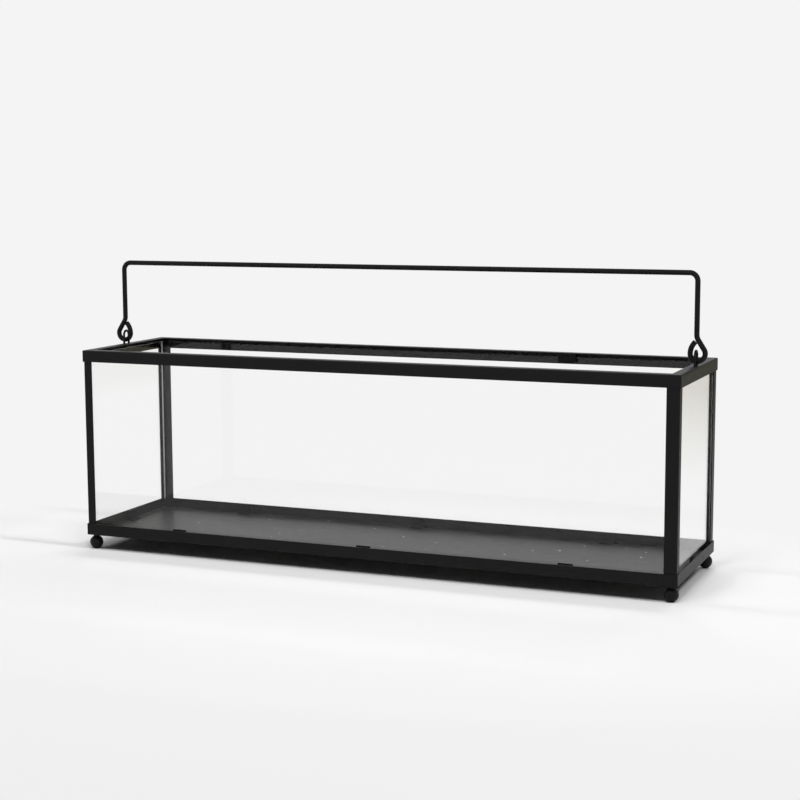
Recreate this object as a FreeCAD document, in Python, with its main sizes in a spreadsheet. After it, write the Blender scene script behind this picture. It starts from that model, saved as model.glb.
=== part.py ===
import FreeCAD, Part
import math
import os
import Sketcher

# A long open-top candle lantern: two mitred angle frames joined by four corner posts,
# with glass on all four sides, ball feet and a swinging wire handle.
# Millimetres. +X runs along the length, +Y away from the front, +Z up.
# The origin is on the ground, under the middle of the lantern.

SIZES = {
    # Overall
    "body_length": 600,
    "body_width": 152,
    "rim_top": 200,
    # Folded angle strip of the rim, the base and the posts
    "sheet_gauge": 1.0,
    "fold_inside": 0.6,
    "corner_radius": 1.4,
    "rail_depth": 11.4,
    "rail_shelf": 10,
    "post_short_leg": 8.8,
    "post_long_leg": 11.8,
    # Floor plate
    "floor_gauge": 1.0,
    "floor_gap": 0.3,
    "floor_corner": 3,
    # Glass
    "glass_gauge": 3,
    "glass_gap": 1.0,
    "glass_joint_gap": 0.3,
    "glass_top_gap": 3,
    "glass_arris": 0.4,
    # Tabs that hold the glass
    "tab_gauge": 1.0,
    "tab_fold_inside": 0.4,
    "tab_gap": 0.3,
    "floor_tab_width": 14,
    "floor_tab_rise": 10,
    "floor_tab_foot": 6,
    "floor_tab_pitch": 197,
    "rim_tab_width": 18,
    "rim_tab_drop": 9.2,
    "rim_tab_foot": 3.7,
    "rim_tab_offset": 155,
    # Ball feet
    "foot_ball": 13.2,
    "foot_flat": 4,
    "foot_neck": 6,
    "foot_neck_rise": 1.9,
    "foot_inset": 6.8,
    # Handle
    "handle_wire": 4.8,
    "handle_rise": 79.0,
    "handle_bend": 7.4,
    "handle_play": 1.7,
    "arm_inset": 4.0,
    "eye_radius": 6.8,
    "eye_offset": 1.1,
    "neck_turn": 32.5,
    "neck_bend": 9,
    "tail_turn": 46,
    "tail_bend": 14.5,
    # Staples
    "staple_wire": 2.2,
    "staple_gap": 0.9,
    "staple_rise": 14.5,
    "staple_offset": 1.5,
}

# Places worked out from the sizes, as expression text
HALF_LENGTH = "(Sizes.body_length / 2)"
HALF_WIDTH = "(Sizes.body_width / 2)"
FOOT_CENTRE = "sqrt((Sizes.foot_ball / 2)^2 - (Sizes.foot_flat / 2)^2)"
FOOT_SHOULDER = f"({FOOT_CENTRE} + sqrt((Sizes.foot_ball / 2)^2 - (Sizes.foot_neck / 2)^2))"
BASE_UNDERSIDE = f"({FOOT_SHOULDER} + Sizes.foot_neck_rise)"
BASE_SHELF_TOP = f"({BASE_UNDERSIDE} + Sizes.sheet_gauge)"
FLOOR_TOP = f"({BASE_SHELF_TOP} + Sizes.floor_gauge)"
RIM_SHELF_UNDERSIDE = "(Sizes.rim_top - Sizes.sheet_gauge)"
POST_FOOT = f"({BASE_SHELF_TOP} + Sizes.fold_inside)"
POST_HEAD = f"({RIM_SHELF_UNDERSIDE} - Sizes.fold_inside)"
GLASS_OUTER_INSET = "(2 * Sizes.sheet_gauge + Sizes.glass_gap)"
TAB_INSET = f"({GLASS_OUTER_INSET} + Sizes.glass_gauge + Sizes.tab_gap)"
ARM_X = f"({HALF_LENGTH} - Sizes.arm_inset)"
EYE_X = f"({ARM_X} + Sizes.eye_offset)"
STAPLE_X = f"({EYE_X} - Sizes.staple_offset)"
HINGE_HEIGHT = "(Sizes.rim_top + Sizes.handle_play + Sizes.handle_wire / 2)"

# Sides and corners, each a quarter turn on from the one before
SIDES = ("front", "right", "back", "left")
CORNERS = ("front_left", "front_right", "back_right", "back_left")
LEFT_TURN = 1
RIGHT_TURN = -1

document = FreeCAD.newDocument("candle_lantern")
sheet = document.addObject("Spreadsheet::Sheet", "Sizes")
sub_parts = []


def fill_sheet():
    for row, (name, size) in enumerate(SIZES.items(), start=1):
        sheet.set(f"A{row}", name.replace("_", " "))
        sheet.set(f"B{row}", str(size))
        sheet.setAlias(f"B{row}", name)
    document.recompute()


def value(expression):
    return float(sheet.evalExpression(expression))


# Helpers for bodies, sketches and features


def new_body(name):
    body = document.addObject("PartDesign::Body", name)
    body.Label = name
    sub_parts.append(body)
    return body


def place(body, quarter_turns, x, y, z):
    turn = FreeCAD.Rotation(FreeCAD.Vector(0, 0, 1), 90 * quarter_turns)
    body.Placement = FreeCAD.Placement(FreeCAD.Vector(), turn)
    body.setExpression("Placement.Base.x", x)
    body.setExpression("Placement.Base.y", y)
    body.setExpression("Placement.Base.z", z)


def place_on_side(body, side, inset, z, along="0"):
    """Turns the body's outward face, -Y, to the side, set in from it and moved along it."""
    reach = HALF_WIDTH if side in ("front", "back") else HALF_LENGTH
    out = f"({reach} - {inset})"
    moves = {
        "front": (along, f"-{out}"),
        "right": (out, along),
        "back": (f"-({along})", out),
        "left": (f"-{out}", f"-({along})"),
    }
    place(body, SIDES.index(side), *moves[side], z)


def place_in_corner(body, corner, inset, z):
    way_x = "-" if "left" in corner else ""
    way_y = "-" if "front" in corner else ""
    x = f"{way_x}({HALF_LENGTH} - {inset})"
    y = f"{way_y}({HALF_WIDTH} - {inset})"
    place(body, CORNERS.index(corner), x, y, z)


def origin_plane(body, role):
    return next(feature for feature in body.Origin.OriginFeatures if feature.Role == role)


def new_sketch(body, name, role):
    sketch = body.newObject("Sketcher::SketchObject", f"{body.Label}_{name}")
    sketch.AttachmentSupport = (origin_plane(body, role), [""])
    sketch.MapMode = "FlatFace"
    return sketch


def bind_constraint(sketch, constraint, expression):
    index = sketch.addConstraint(constraint)
    sketch.setExpression(f"Constraints[{index}]", expression)


def bend_arc(start, end, radius, turn):
    """The short arc from start to end, which bends left or right on the way."""
    chord = end - start
    rise = math.sqrt(max(radius**2 - chord.Length**2 / 4, 0))
    left = FreeCAD.Vector(-chord.y, chord.x, 0).normalize()
    centre = (start + end) * 0.5 + left * (turn * rise)
    first, last = (start, end) if turn == LEFT_TURN else (end, start)
    first_angle = math.atan2(first.y - centre.y, first.x - centre.x)
    last_angle = math.atan2(last.y - centre.y, last.x - centre.x)
    if last_angle < first_angle:
        last_angle += 2 * math.pi
    circle = Part.Circle(centre, FreeCAD.Vector(0, 0, 1), radius)
    return Part.ArcOfCircle(circle, first_angle, last_angle)


def draw(sketch, corners, bends=None, closed=True):
    """Draws stretches from corner to corner, with each corner held by two expressions.

    bends gives the stretches that are arcs: {number: (radius expression, turn)}.
    """
    bends = bends or {}
    points = [FreeCAD.Vector(value(x), value(y), 0) for x, y in corners]
    count = len(corners) if closed else len(corners) - 1
    ends = []
    for number in range(count):
        start = points[number]
        end = points[(number + 1) % len(points)]
        if number in bends:
            radius, turn = bends[number]
            sketch.addGeometry(bend_arc(start, end, value(radius), turn))
        else:
            turn = LEFT_TURN
            sketch.addGeometry(Part.LineSegment(start, end))
        # A sketch counts an arc's ends anticlockwise, so on a right turn they swap
        ends.append((1, 2) if turn == LEFT_TURN else (2, 1))
    for number in range(count if closed else count - 1):
        after = (number + 1) % count
        meeting = (number, ends[number][1], after, ends[after][0])
        sketch.addConstraint(Sketcher.Constraint("Coincident", *meeting))
    for number, (x, y) in enumerate(corners):
        spot = (number, ends[number][0]) if number < count else (count - 1, ends[-1][1])
        point = points[number]
        bind_constraint(sketch, Sketcher.Constraint("DistanceX", -1, 1, *spot, point.x), x)
        bind_constraint(sketch, Sketcher.Constraint("DistanceY", -1, 1, *spot, point.y), y)
    for number, (radius, _) in bends.items():
        bind_constraint(sketch, Sketcher.Constraint("Radius", number, value(radius)), radius)


def draw_circle(sketch, x, y, diameter):
    centre = FreeCAD.Vector(value(x), value(y), 0)
    up = FreeCAD.Vector(0, 0, 1)
    sketch.addGeometry(Part.Circle(centre, up, value(diameter) / 2))
    bind_constraint(sketch, Sketcher.Constraint("DistanceX", -1, 1, 0, 3, centre.x), x)
    bind_constraint(sketch, Sketcher.Constraint("DistanceY", -1, 1, 0, 3, centre.y), y)
    bind_constraint(sketch, Sketcher.Constraint("Diameter", 0, value(diameter)), diameter)


def pad(body, sketch, length, symmetric):
    feature = body.newObject("PartDesign::Pad", f"{body.Label}_pad")
    feature.Profile = sketch
    feature.SideType = "Symmetric" if symmetric else "One side"
    feature.setExpression("Length", length)
    return feature


def sweep(body, section, path):
    feature = body.newObject("PartDesign::AdditivePipe", f"{body.Label}_pipe")
    feature.Profile = section
    feature.Spine = (path, [""])
    return feature


def mirror_across_middle(body, original):
    feature = body.newObject("PartDesign::Mirrored", f"{body.Label}_mirror")
    feature.Originals = [original]
    feature.MirrorPlane = (origin_plane(body, "YZ_Plane"), [""])
    body.Tip = feature


# Outlines


def draw_angle(sketch, first_leg, second_leg, gauge, inner_fold, way=1):
    """A folded angle with its outer corner on the origin and its legs along the two axes.

    way is -1 where the second leg points down its axis.
    """
    fold = f"({inner_fold} + {gauge})"
    corners = [
        (fold, "0"),
        (first_leg, "0"),
        (first_leg, f"{way} * {gauge}"),
        (fold, f"{way} * {gauge}"),
        (gauge, f"{way} * {fold}"),
        (gauge, f"{way} * {second_leg}"),
        ("0", f"{way} * {second_leg}"),
        ("0", f"{way} * {fold}"),
    ]
    draw(sketch, corners, {3: (inner_fold, -way), 7: (fold, way)})


def draw_rounded_rectangle(sketch, half_x, half_y, radius):
    corners = []
    for sign_x, sign_y in ((1, -1), (1, 1), (-1, 1), (-1, -1)):
        beside = (f"{sign_x} * ({half_x} - {radius})", f"{sign_y} * {half_y}")
        above = (f"{sign_x} * {half_x}", f"{sign_y} * ({half_y} - {radius})")
        corners += [beside, above] if sign_x * sign_y < 0 else [above, beside]
    draw(sketch, corners, {number: (radius, LEFT_TURN) for number in (0, 2, 4, 6)})


def draw_mitre(sketch, length):
    """What a rail loses at its right end: all beyond the mitre line and the rounded corner."""
    end = f"({length} / 2)"
    shelf = "Sizes.rail_shelf"
    radius = "Sizes.corner_radius"
    on_arc = f"{radius} * cos(45)"
    corners = [
        (f"{end} - {radius}", "0"),
        (f"{end} - {radius} + {on_arc}", f"{radius} - {on_arc}"),
        (f"{end} - {shelf} - {radius}", f"{shelf} + {radius}"),
        (f"{end} + {radius}", f"{shelf} + {radius}"),
        (f"{end} + {radius}", f"-{radius}"),
        (f"{end} - {radius}", f"-{radius}"),
    ]
    draw(sketch, corners, {0: (radius, LEFT_TURN)})


# Sub-parts


def angle_rail(name, side, way, z):
    """A mitred rail with its upright leg outside; way is 1 where the shelf is at the foot."""
    length = "Sizes.body_length" if side in ("front", "back") else "Sizes.body_width"
    body = new_body(f"{name}_{side}")
    section = new_sketch(body, "section", "YZ_Plane")
    draw_angle(
        section, "Sizes.rail_shelf", "Sizes.rail_depth", "Sizes.sheet_gauge", "Sizes.fold_inside", way
    )
    pad(body, section, length, symmetric=True)
    mitre = new_sketch(body, "mitre", "XY_Plane")
    draw_mitre(mitre, length)
    cut = body.newObject("PartDesign::Pocket", f"{body.Label}_mitre_cut")
    cut.Profile = mitre
    cut.SideType = "Symmetric"
    cut.setExpression("Length", "4 * Sizes.rail_depth")
    mirror_across_middle(body, cut)
    place_on_side(body, side, "0", z)


def corner_post(corner):
    """The same unequal angle in every corner, so its wide leg changes sides from one to the next.

    Its ends stop where the rails' inner folds begin.
    """
    body = new_body(f"corner_post_{corner}")
    section = new_sketch(body, "section", "XY_Plane")
    draw_angle(
        section, "Sizes.post_short_leg", "Sizes.post_long_leg", "Sizes.sheet_gauge", "Sizes.fold_inside"
    )
    pad(body, section, f"{POST_HEAD} - {POST_FOOT}", symmetric=False)
    place_in_corner(body, corner, "Sizes.sheet_gauge", POST_FOOT)


def floor_plate():
    """A flat plate on the base rails' shelves, just inside the posts."""
    body = new_body("floor_plate")
    outline = new_sketch(body, "outline", "XY_Plane")
    inset = "(2 * Sizes.sheet_gauge + Sizes.floor_gap)"
    draw_rounded_rectangle(
        outline, f"({HALF_LENGTH} - {inset})", f"({HALF_WIDTH} - {inset})", "Sizes.floor_corner"
    )
    pad(body, outline, "Sizes.floor_gauge", symmetric=False)
    place(body, 0, "0", "0", BASE_SHELF_TOP)


def glass_pane(side):
    """A pane with ground edges that stands on the floor; the end panes fit between the long ones."""
    body = new_body(f"glass_pane_{side}")
    if side in ("front", "back"):
        length = f"Sizes.body_length - 2 * {GLASS_OUTER_INSET}"
    else:
        taken = f"({GLASS_OUTER_INSET} + Sizes.glass_gauge + Sizes.glass_joint_gap)"
        length = f"Sizes.body_width - 2 * {taken}"
    top = f"({RIM_SHELF_UNDERSIDE} - Sizes.glass_top_gap - {FLOOR_TOP})"
    section = new_sketch(body, "section", "YZ_Plane")
    draw(section, [("0", "0"), ("Sizes.glass_gauge", "0"), ("Sizes.glass_gauge", top), ("0", top)])
    slab = pad(body, section, length, symmetric=True)
    document.recompute()
    arris = body.newObject("PartDesign::Chamfer", f"{body.Label}_arris")
    arris.Base = (slab, [f"Edge{number + 1}" for number in range(len(slab.Shape.Edges))])
    arris.setExpression("Size", "Sizes.glass_arris")
    place_on_side(body, side, GLASS_OUTER_INSET, FLOOR_TOP)


def glass_tab(name, side, width, rise, foot, way, z, along):
    """A folded tab behind a pane; way is 1 where it stands up and -1 where it hangs down."""
    body = new_body(name)
    section = new_sketch(body, "section", "YZ_Plane")
    draw_angle(section, foot, rise, "Sizes.tab_gauge", "Sizes.tab_fold_inside", way)
    pad(body, section, width, symmetric=True)
    place_on_side(body, side, TAB_INSET, z, along)


def floor_tab(name, side, along):
    glass_tab(
        f"floor_tab_{name}", side, "Sizes.floor_tab_width", "Sizes.floor_tab_rise",
        "Sizes.floor_tab_foot", 1, FLOOR_TOP, along,
    )


def rim_tab(name, side, along):
    glass_tab(
        f"rim_tab_{name}", side, "Sizes.rim_tab_width", "Sizes.rim_tab_drop",
        "Sizes.rim_tab_foot", -1, RIM_SHELF_UNDERSIDE, along,
    )


def ball_foot(corner):
    """A ball with a small flat to stand on and a short neck up to the base rails."""
    body = new_body(f"ball_foot_{corner}")
    profile = new_sketch(body, "profile", "XZ_Plane")
    corners = [
        ("0", "0"),
        ("Sizes.foot_flat / 2", "0"),
        ("Sizes.foot_neck / 2", FOOT_SHOULDER),
        ("Sizes.foot_neck / 2", BASE_UNDERSIDE),
        ("0", BASE_UNDERSIDE),
    ]
    draw(profile, corners, {1: ("Sizes.foot_ball / 2", LEFT_TURN)})
    turned = body.newObject("PartDesign::Revolution", f"{body.Label}_turned")
    turned.Profile = profile
    turned.ReferenceAxis = (profile, ["V_Axis"])
    turned.Angle = 360
    place_in_corner(body, corner, "Sizes.foot_inset", "0")


def handle_path():
    """Corners and bends of half the handle, from the bar's middle to the eye's cut end.

    The hinge axis, through the wire at the eye's lowest point, is at the height 0.
    """
    rise = "Sizes.handle_rise"
    bend = "Sizes.handle_bend"
    eye = "Sizes.eye_radius"
    neck = "Sizes.neck_bend"
    tail = "Sizes.tail_bend"
    sine = "sin(Sizes.neck_turn)"
    cosine = "cos(Sizes.neck_turn)"
    neck_shift = f"({neck} * (1 - {cosine}))"
    slope_length = f"((Sizes.eye_offset + {eye} * {cosine} - {neck_shift}) / {sine})"
    slope_foot = f"({eye} * (1 + {sine}))"
    slope_head = f"({slope_foot} + {slope_length} * {cosine})"
    corners = [
        ("0", rise),
        (f"{ARM_X} - {bend}", rise),
        (ARM_X, f"{rise} - {bend}"),
        (ARM_X, f"{slope_head} + {neck} * {sine}"),
        (f"{ARM_X} + {neck_shift}", slope_head),
        (f"{EYE_X} + {eye} * {cosine}", slope_foot),
        (EYE_X, "0"),
        (f"{EYE_X} - {eye}", eye),
        (f"{EYE_X} - {eye} + {tail} * (1 - cos(Sizes.tail_turn))", f"{eye} + {tail} * sin(Sizes.tail_turn)"),
    ]
    bends = {
        1: (bend, RIGHT_TURN),
        3: (neck, LEFT_TURN),
        5: (eye, RIGHT_TURN),
        6: (eye, RIGHT_TURN),
        7: (tail, RIGHT_TURN),
    }
    return corners, bends


def carry_handle():
    """One round wire: a bar, two arms and an open eye at each end, bent out, under and back up."""
    body = new_body("carry_handle")
    section = new_sketch(body, "section", "YZ_Plane")
    draw_circle(section, "0", "Sizes.handle_rise", "Sizes.handle_wire")
    path = new_sketch(body, "path", "XZ_Plane")
    corners, bends = handle_path()
    draw(path, corners, bends, closed=False)
    half = sweep(body, section, path)
    mirror_across_middle(body, half)
    place(body, 0, "0", "0", HINGE_HEIGHT)


def handle_staple(side):
    """A wire arch welded to the end rail's shelf, over the lowest point of the handle's eye."""
    body = new_body(f"handle_staple_{side}")
    half_span = "(Sizes.handle_wire / 2 + Sizes.staple_gap + Sizes.staple_wire / 2)"
    spring_line = f"(Sizes.staple_rise - Sizes.staple_wire / 2 - {half_span})"
    section = new_sketch(body, "section", "XY_Plane")
    draw_circle(section, "0", f"-{half_span}", "Sizes.staple_wire")
    path = new_sketch(body, "path", "YZ_Plane")
    corners = [
        (f"-{half_span}", "0"),
        (f"-{half_span}", spring_line),
        ("0", f"{spring_line} + {half_span}"),
        (half_span, spring_line),
        (half_span, "0"),
    ]
    draw(path, corners, {1: (half_span, RIGHT_TURN), 2: (half_span, RIGHT_TURN)}, closed=False)
    sweep(body, section, path)
    way = "-" if side == "left" else ""
    place(body, 0, f"{way}{STAPLE_X}", "0", "Sizes.rim_top")


def build():
    fill_sheet()
    for side in SIDES:
        angle_rail("rim_rail", side, -1, "Sizes.rim_top")
        angle_rail("base_rail", side, 1, BASE_UNDERSIDE)
        glass_pane(side)
    for corner in CORNERS:
        corner_post(corner)
        ball_foot(corner)
    floor_plate()
    # Seen from outside, the back's left-hand end is the lantern's right-hand one
    for side, first, last in (("front", "left", "right"), ("back", "right", "left")):
        floor_tab(f"{side}_{first}", side, "-Sizes.floor_tab_pitch")
        floor_tab(f"{side}_middle", side, "0")
        floor_tab(f"{side}_{last}", side, "Sizes.floor_tab_pitch")
        rim_tab(f"{side}_{first}", side, "-Sizes.rim_tab_offset")
    for side in ("left", "right"):
        floor_tab(f"{side}_end", side, "0")
        handle_staple(side)
    carry_handle()
    document.recompute()


def check():
    for item in document.Objects:
        if "Invalid" in item.State or "Error" in item.State:
            raise RuntimeError(f"{item.Label} failed: {item.State}")
    for body in sub_parts:
        if body.Shape.isNull() or not body.Shape.isValid() or len(body.Shape.Solids) != 1:
            raise RuntimeError(f"{body.Label} is not one valid solid")


def write():
    os.makedirs("parts", exist_ok=True)
    for body in sub_parts:
        body.Shape.exportStep(f"parts/{body.Label}.step")


build()
check()
write()
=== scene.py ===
import math

import bpy
from mathutils import Matrix, Vector

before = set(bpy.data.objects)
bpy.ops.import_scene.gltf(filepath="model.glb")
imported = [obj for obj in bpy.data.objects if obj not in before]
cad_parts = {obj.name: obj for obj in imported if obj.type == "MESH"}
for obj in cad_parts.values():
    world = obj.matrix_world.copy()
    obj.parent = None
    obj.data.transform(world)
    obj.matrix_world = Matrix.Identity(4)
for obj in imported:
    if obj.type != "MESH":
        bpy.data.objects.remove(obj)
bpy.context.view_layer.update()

# Looks of a long black candle lantern with clear glass on all sides. Metres, +Z up.

MILLIMETRE = 0.001
WHITE = (1, 1, 1)

# Paint: two shades, lowest and highest roughness, specular level, peel (fineness, strength)
BLACK = ((0.005, 0.0045, 0.005), (0.009, 0.008, 0.009))
GREY_BLACK = ((0.006, 0.006, 0.006), (0.010, 0.010, 0.010))
PAINTS = {
    "frame_paint": (BLACK, (0.41, 0.46), 0.14, (900, 0.06)),
    "floor_paint": (GREY_BLACK, (0.42, 0.47), 0.58, (900, 0.04)),
    "wire_paint": (BLACK, (0.42, 0.5), 0.14, (1200, 0.05)),
}

# Unevenness of the paint: the fineness and detail of each pattern
SHADE_PATTERN = (35, 3)
HAZE_PATTERN = (120, 4)
HAZE_SPAN = (0.3, 0.7)
PEEL_DETAIL = 2
PEEL_DEPTH = 0.1 * MILLIMETRE

# Dust on the floor plate: some squares of this size hold one speck, and more of them to the right.
# DUST_SHARE is the share of squares with a speck at the left and the right end
DUST = (0.7, 0.67, 0.6)
DUST_SQUARE = 20 * MILLIMETRE
DUST_SPECK = 1.5 * MILLIMETRE
DUST_SPECK_CORE = 0.6
DUST_SPECK_SHRINK = 2
DUST_SHARE = (0.03, 0.3)
DUST_REACH = 0.3

# Glass. Its index is lower than real glass has, because the photograph's panes mirror so little
GLASS_TINT = (0.994, 0.996, 0.993)
GLASS_INDEX = 1.27
GLASS_LET_THROUGH = (0.972, 0.978, 0.973)
SMEAR_PATTERN = (14, 4)
SMEAR_SPAN = (0.45, 0.75)
SMEAR_ROUGHNESS = 0.03

# Ground glass at the panes' upright edges, which shows above the base rails. Below the rails' top it
# is painted shade: the edges are drawn clear there, as the rails keep light off them
GROUND = ((0.6, 0.64, 0.62), (0.74, 0.77, 0.75))
GROUND_PATTERN = (400, 3)
GROUND_ROUGHNESS = 0.6
RAIL_SHADE_TOP = 24 * MILLIMETRE
RAIL_SHADE_GONE = 28 * MILLIMETRE
EDGE_FACING = 0.5

# Camera
CAMERA_PLACE = (0.6151, -1.4635, 0.3652)
CAMERA_YAW = math.radians(22.496)
CAMERA_PITCH = math.radians(7.538)
CAMERA_ROLL = math.radians(-0.215)
CAMERA_LENS = 74.6
CAMERA_SENSOR = 36

# Backdrop: white paper that turns up into a wall
SWEEP_FRONT = -3.2
SWEEP_BACK = 2.6
SWEEP_SIDE = 3.2
SWEEP_HEIGHT = 2.6
SWEEP_BEND = 0.7
SWEEP_BEND_STEPS = 16
SWEEP_WHITE = 0.86

# Paper is lit round the lantern, a little to the front, and glows beyond. Distances are measured
# in an oval, and LIT_FADE is where lit paper turns into glowing paper
OVAL_SHIFT = (0, 0.13, 0)
OVAL_SCALE = (0.95, 1.5, 1)
LIT_FADE = (0.36, 0.6)

# Painted shade: the paper glows a little less in front of the lantern, where the light falls off. The
# full glow comes back over a stretch of Y towards the wall, and over a stretch of distance towards the
# paper's ends
SWEEP_GLOW = 0.905
SWEEP_GLOW_FRONT = 0.865
FULL_GLOW_Y = (-0.65, -0.2)
FULL_GLOW_DISTANCE = (1.6, 2.8)

# Painted reflection: the darker, warmer room that the right end pane mirrors, painted on the paper for
# glossy rays only, and where it begins and is full
ROOM_REFLECTION_PAINT = (0.38, 0.345, 0.22)
MIRRORED_X = (0.32, 0.45)
MIRRORED_Y = (0.5, 1.4)

# Light. Each soft box: place, size, power; all of them aim at the lantern. The right and left boxes
# are narrow, so that the long rails cast thin shadows beyond both ends
ROOM_SEEN = 0.905
ROOM_FILL = 0.07
AIM = (0, 0, 0.02)
SOFT_BOXES = {
    "front_box": ((0.18, -0.85, 2.1), (0.9, 0.8), 25),
    "back_box": ((0.0, 2.45, 1.8), (3.2, 0.65), 44),
    "right_box": ((2.45, -0.2, 3.4), (0.36, 0.9), 52),
    "left_box": ((-2.2, -0.05, 2.1), (0.25, 0.8), 15),
}


# Helpers for materials


def new_material(name):
    material = bpy.data.materials.new(name)
    material.use_nodes = True
    tree = material.node_tree
    tree.nodes.clear()
    output = tree.nodes.new("ShaderNodeOutputMaterial")
    return material, tree, output


def add(tree, kind, **settings):
    node = tree.nodes.new(kind)
    for name, setting in settings.items():
        setattr(node, name, setting)
    return node


def join(tree, source, target):
    tree.links.new(source, target)


def object_place(tree):
    return add(tree, "ShaderNodeTexCoord").outputs["Object"]


def split(tree, vector):
    """The outputs X, Y and Z of a place or a direction."""
    node = add(tree, "ShaderNodeSeparateXYZ")
    join(tree, vector, node.inputs["Vector"])
    return node.outputs


def combine(tree, operation, first, second):
    node = add(tree, "ShaderNodeMath", operation=operation)
    join(tree, first, node.inputs[0])
    join(tree, second, node.inputs[1])
    return node.outputs["Value"]


def multiply(tree, first, second):
    return combine(tree, "MULTIPLY", first, second)


def larger(tree, first, second):
    return combine(tree, "MAXIMUM", first, second)


def noise(tree, place, fineness, detail):
    node = add(tree, "ShaderNodeTexNoise")
    node.inputs["Scale"].default_value = fineness
    node.inputs["Detail"].default_value = detail
    join(tree, place, node.inputs["Vector"])
    return node.outputs["Fac"]


def spread(tree, source, low, high, start=0, end=1):
    """Low where the source is at start or before it, high at end or beyond, and even steps between."""
    node = add(tree, "ShaderNodeMapRange")
    node.inputs["From Min"].default_value = start
    node.inputs["From Max"].default_value = end
    node.inputs["To Min"].default_value = low
    node.inputs["To Max"].default_value = high
    join(tree, source, node.inputs["Value"])
    return node.outputs["Result"]


def two_colours(tree, share, first, second):
    node = add(tree, "ShaderNodeMix", data_type="RGBA")
    node.inputs["A"].default_value = (*first, 1)
    node.inputs["B"].default_value = (*second, 1)
    join(tree, share, node.inputs["Factor"])
    return node.outputs["Result"]


def two_shaders(tree, share, first, second):
    node = add(tree, "ShaderNodeMixShader")
    join(tree, share, node.inputs["Fac"])
    join(tree, first, node.inputs[1])
    join(tree, second, node.inputs[2])
    return node.outputs["Shader"]


def bump(tree, height, strength, distance):
    node = add(tree, "ShaderNodeBump")
    node.inputs["Strength"].default_value = strength
    node.inputs["Distance"].default_value = distance
    join(tree, height, node.inputs["Height"])
    return node.outputs["Normal"]


# Paint


def satin_paint(name, shades, roughness, specular, peel):
    """Black paint with faint clouds, uneven shine and a fine skin."""
    material, tree, output = new_material(name)
    place = object_place(tree)
    shader = add(tree, "ShaderNodeBsdfPrincipled", name="paint")
    shader.inputs["Specular IOR Level"].default_value = specular
    cloud = noise(tree, place, *SHADE_PATTERN)
    join(tree, two_colours(tree, cloud, *shades), shader.inputs["Base Color"])
    haze = noise(tree, place, *HAZE_PATTERN)
    join(tree, spread(tree, haze, *roughness, *HAZE_SPAN), shader.inputs["Roughness"])
    fineness, strength = peel
    skin = noise(tree, place, fineness, PEEL_DETAIL)
    join(tree, bump(tree, skin, strength, PEEL_DEPTH), shader.inputs["Normal"])
    join(tree, shader.outputs["BSDF"], output.inputs["Surface"])
    return material


def add_dust(material):
    """Pale specks scattered over the paint."""
    tree = material.node_tree
    shader = tree.nodes["paint"]
    place = object_place(tree)
    squares = add(tree, "ShaderNodeTexVoronoi", voronoi_dimensions="2D")
    squares.inputs["Scale"].default_value = 1 / DUST_SQUARE
    join(tree, place, squares.inputs["Vector"])
    chance = add(tree, "ShaderNodeSeparateColor")
    join(tree, squares.outputs["Color"], chance.inputs["Color"])
    # Specks of all sizes: the small ones lie as if further from their middle
    shrink = spread(tree, chance.outputs["Green"], 1, DUST_SPECK_SHRINK)
    away = multiply(tree, squares.outputs["Distance"], shrink)
    edge = DUST_SPECK / DUST_SQUARE
    speck = spread(tree, away, 1, 0, DUST_SPECK_CORE * edge, edge)
    share = spread(tree, split(tree, place)["X"], *DUST_SHARE, -DUST_REACH, DUST_REACH)
    chosen = combine(tree, "LESS_THAN", chance.outputs["Red"], share)
    mix = add(tree, "ShaderNodeMix", data_type="RGBA")
    join(tree, multiply(tree, speck, chosen), mix.inputs["Factor"])
    join(tree, shader.inputs["Base Color"].links[0].from_socket, mix.inputs["A"])
    mix.inputs["B"].default_value = (*DUST, 1)
    join(tree, mix.outputs["Result"], shader.inputs["Base Color"])


# Glass


def ground_glass(tree, place):
    """The pale, rough look of a pane's cut edge."""
    shader = add(tree, "ShaderNodeBsdfPrincipled")
    shader.inputs["Roughness"].default_value = GROUND_ROUGHNESS
    grain = noise(tree, place, *GROUND_PATTERN)
    join(tree, two_colours(tree, grain, *GROUND), shader.inputs["Base Color"])
    return shader.outputs["BSDF"]


def smooth_glass(tree, place):
    """The clear glass of a pane's faces, with faint smears."""
    shader = add(tree, "ShaderNodeBsdfPrincipled")
    shader.inputs["Base Color"].default_value = (*GLASS_TINT, 1)
    shader.inputs["Transmission Weight"].default_value = 1
    shader.inputs["IOR"].default_value = GLASS_INDEX
    smear = noise(tree, place, *SMEAR_PATTERN)
    join(tree, spread(tree, smear, 0, SMEAR_ROUGHNESS, *SMEAR_SPAN), shader.inputs["Roughness"])
    return shader.outputs["BSDF"]


def edge_share(tree, along):
    """1 on a pane's two upright edges, which face the axis along, and 0 elsewhere."""
    turn = add(tree, "ShaderNodeVectorTransform", vector_type="NORMAL")
    turn.convert_from = "WORLD"
    turn.convert_to = "OBJECT"
    join(tree, add(tree, "ShaderNodeNewGeometry").outputs["True Normal"], turn.inputs["Vector"])
    size = add(tree, "ShaderNodeMath", operation="ABSOLUTE")
    join(tree, split(tree, turn.outputs["Vector"])[along], size.inputs[0])
    edge = add(tree, "ShaderNodeMath", operation="GREATER_THAN")
    join(tree, size.outputs["Value"], edge.inputs[0])
    edge.inputs[1].default_value = EDGE_FACING
    return edge.outputs["Value"]


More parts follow.
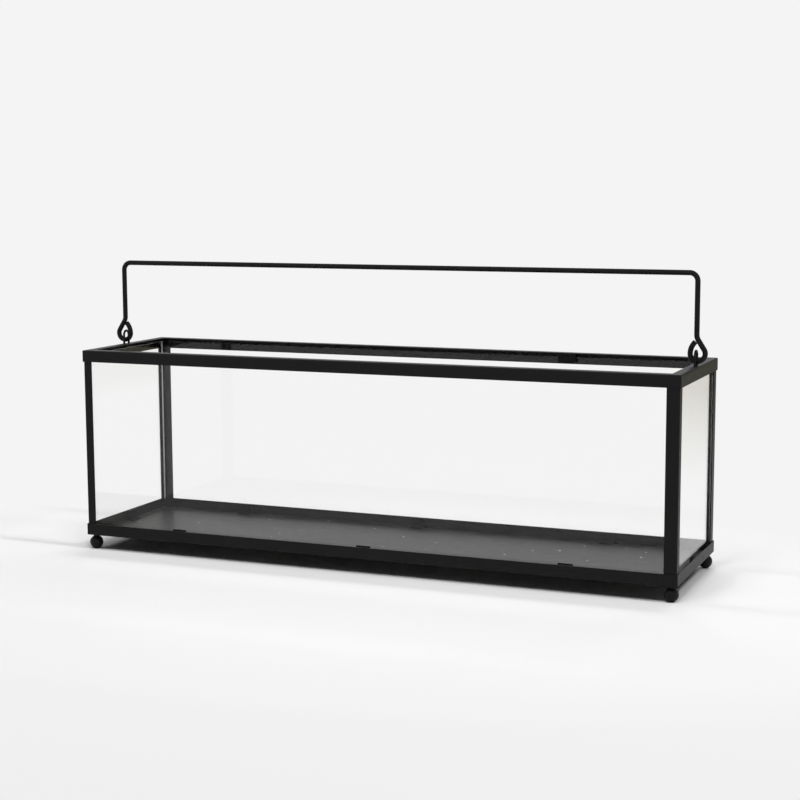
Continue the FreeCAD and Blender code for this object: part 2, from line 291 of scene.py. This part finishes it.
def clear_glass(name, along):
    """A pane with ground upright edges, which lets light through to what stands behind it."""
    material, tree, output = new_material(name)
    place = object_place(tree)
    # Painted shade: the edges turn clear below the base rails' top, where the rails keep light off
    # them
    out_of_rail_shade = spread(tree, split(tree, place)["Z"], 0, 1, RAIL_SHADE_TOP, RAIL_SHADE_GONE)
    ground_share = multiply(tree, edge_share(tree, along), out_of_rail_shade)
    pane = two_shaders(tree, ground_share, smooth_glass(tree, place), ground_glass(tree, place))
    see_through = add(tree, "ShaderNodeBsdfTransparent")
    see_through.inputs["Color"].default_value = (*GLASS_LET_THROUGH, 1)
    path = add(tree, "ShaderNodeLightPath")
    light_ray = larger(tree, path.outputs["Is Shadow Ray"], path.outputs["Is Diffuse Ray"])
    surface = two_shaders(tree, light_ray, pane, see_through.outputs["BSDF"])
    join(tree, surface, output.inputs["Surface"])
    return material


# Backdrop


def shown_ray(tree):
    """1 for rays that show the surface: straight from the camera, or by way of metal or glass."""
    path = add(tree, "ShaderNodeLightPath")
    total = path.outputs["Is Camera Ray"]
    for name in ("Is Glossy Ray", "Is Transmission Ray"):
        total = larger(tree, total, path.outputs[name])
    return total


def oval_distance(tree, place):
    """How far a place lies from the lantern, as an oval round it measures."""
    oval = add(tree, "ShaderNodeMapping")
    oval.inputs["Location"].default_value = OVAL_SHIFT
    oval.inputs["Scale"].default_value = OVAL_SCALE
    join(tree, place, oval.inputs["Vector"])
    length = add(tree, "ShaderNodeVectorMath", operation="LENGTH")
    join(tree, oval.outputs["Vector"], length.inputs[0])
    return length.outputs["Value"]


def glowing_paper(tree, place, distance):
    """Nearly even white, apart from painted shade in front of the lantern and a painted reflection of
    a darker, warmer room behind the right end, for glossy rays.
    """
    glow = add(tree, "ShaderNodeEmission")
    axes = split(tree, place)
    towards_wall = spread(tree, axes["Y"], SWEEP_GLOW_FRONT, SWEEP_GLOW, *FULL_GLOW_Y)
    towards_ends = spread(tree, distance, SWEEP_GLOW_FRONT, SWEEP_GLOW, *FULL_GLOW_DISTANCE)
    join(tree, larger(tree, towards_wall, towards_ends), glow.inputs["Strength"])
    # Painted reflection: glossy rays see a darker, warmer room on the paper behind the right end
    right = spread(tree, axes["X"], 0, 1, *MIRRORED_X)
    behind = spread(tree, axes["Y"], 0, 1, *MIRRORED_Y)
    glossy_ray = add(tree, "ShaderNodeLightPath").outputs["Is Glossy Ray"]
    painted_reflection = multiply(tree, multiply(tree, right, behind), glossy_ray)
    join(tree, two_colours(tree, painted_reflection, WHITE, ROOM_REFLECTION_PAINT), glow.inputs["Color"])
    return glow.outputs["Emission"]


def sweep_material():
    """Lit paper round the lantern, which takes its shadow, and glowing paper beyond."""
    material, tree, output = new_material("white_sweep")
    place = object_place(tree)
    paper = add(tree, "ShaderNodeBsdfDiffuse")
    paper.inputs["Color"].default_value = (SWEEP_WHITE, SWEEP_WHITE, SWEEP_WHITE, 1)
    distance = oval_distance(tree, place)
    far = spread(tree, distance, 0, 1, *LIT_FADE)
    share = multiply(tree, far, shown_ray(tree))
    surface = two_shaders(tree, share, paper.outputs["BSDF"], glowing_paper(tree, place, distance))
    join(tree, surface, output.inputs["Surface"])
    return material


def white_sweep():
    """A floor that turns up into a wall behind the lantern."""
    profile = [(SWEEP_FRONT, 0), (SWEEP_BACK - SWEEP_BEND, 0)]
    for step in range(1, SWEEP_BEND_STEPS + 1):
        turn = math.pi / 2 * step / SWEEP_BEND_STEPS
        out = SWEEP_BACK - SWEEP_BEND + SWEEP_BEND * math.sin(turn)
        profile.append((out, SWEEP_BEND * (1 - math.cos(turn))))
    profile.append((SWEEP_BACK, SWEEP_HEIGHT))
    points = [(side * SWEEP_SIDE, y, z) for y, z in profile for side in (-1, 1)]
    faces = [(2 * i, 2 * i + 1, 2 * i + 3, 2 * i + 2) for i in range(len(profile) - 1)]
    mesh = bpy.data.meshes.new("white_sweep")
    mesh.from_pydata(points, [], faces)
    mesh.shade_smooth()
    mesh.materials.append(sweep_material())
    sweep = bpy.data.objects.new("white_sweep", mesh)
    bpy.context.scene.collection.objects.link(sweep)


# Light and camera


def soft_box(name, place, size, power):
    light = bpy.data.lights.new(name, "AREA")
    light.shape = "RECTANGLE"
    light.size, light.size_y = size
    light.energy = power
    lamp = bpy.data.objects.new(name, light)
    lamp.location = place
    direction = Vector(AIM) - Vector(place)
    lamp.rotation_euler = direction.to_track_quat("-Z", "Y").to_euler()
    # The paint and the glass show the white backdrop, not the lamps
    lamp.visible_glossy = False
    lamp.visible_transmission = False
    bpy.context.scene.collection.objects.link(lamp)


def studio_light():
    world = bpy.data.worlds.new("studio")
    bpy.context.scene.world = world
    world.use_nodes = True
    tree = world.node_tree
    background = tree.nodes["Background"]
    background.inputs["Color"].default_value = (*WHITE, 1)
    join(tree, spread(tree, shown_ray(tree), ROOM_FILL, ROOM_SEEN), background.inputs["Strength"])
    for name, (place, size, power) in SOFT_BOXES.items():
        soft_box(name, place, size, power)


def camera():
    lens = bpy.data.cameras.new("camera")
    lens.lens = CAMERA_LENS
    lens.sensor_width = CAMERA_SENSOR
    seen_from = bpy.data.objects.new("camera", lens)
    turn = Matrix.Rotation(CAMERA_YAW, 4, "Z")
    tilt = Matrix.Rotation(math.pi / 2 - CAMERA_PITCH, 4, "X")
    roll = Matrix.Rotation(CAMERA_ROLL, 4, "Z")
    seen_from.matrix_world = Matrix.Translation(CAMERA_PLACE) @ turn @ tilt @ roll
    bpy.context.scene.collection.objects.link(seen_from)
    bpy.context.scene.camera = seen_from


# The lantern


def paint(node, material):
    node.data.materials.clear()
    node.data.materials.append(material)


def dress():
    paints = {name: satin_paint(name, *look) for name, look in PAINTS.items()}
    add_dust(paints["floor_paint"])
    long_glass = clear_glass("long_glass", "X")
    end_glass = clear_glass("end_glass", "Y")
    for name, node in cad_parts.items():
        if name in ("glass_pane_front", "glass_pane_back"):
            paint(node, long_glass)
        elif name in ("glass_pane_left", "glass_pane_right"):
            paint(node, end_glass)
        elif name == "floor_plate":
            paint(node, paints["floor_paint"])
        elif name == "carry_handle" or name.startswith("handle_staple"):
            paint(node, paints["wire_paint"])
        else:
            paint(node, paints["frame_paint"])


dress()
white_sweep()
studio_light()
camera()
bpy.context.scene.view_settings.view_transform = "Standard"
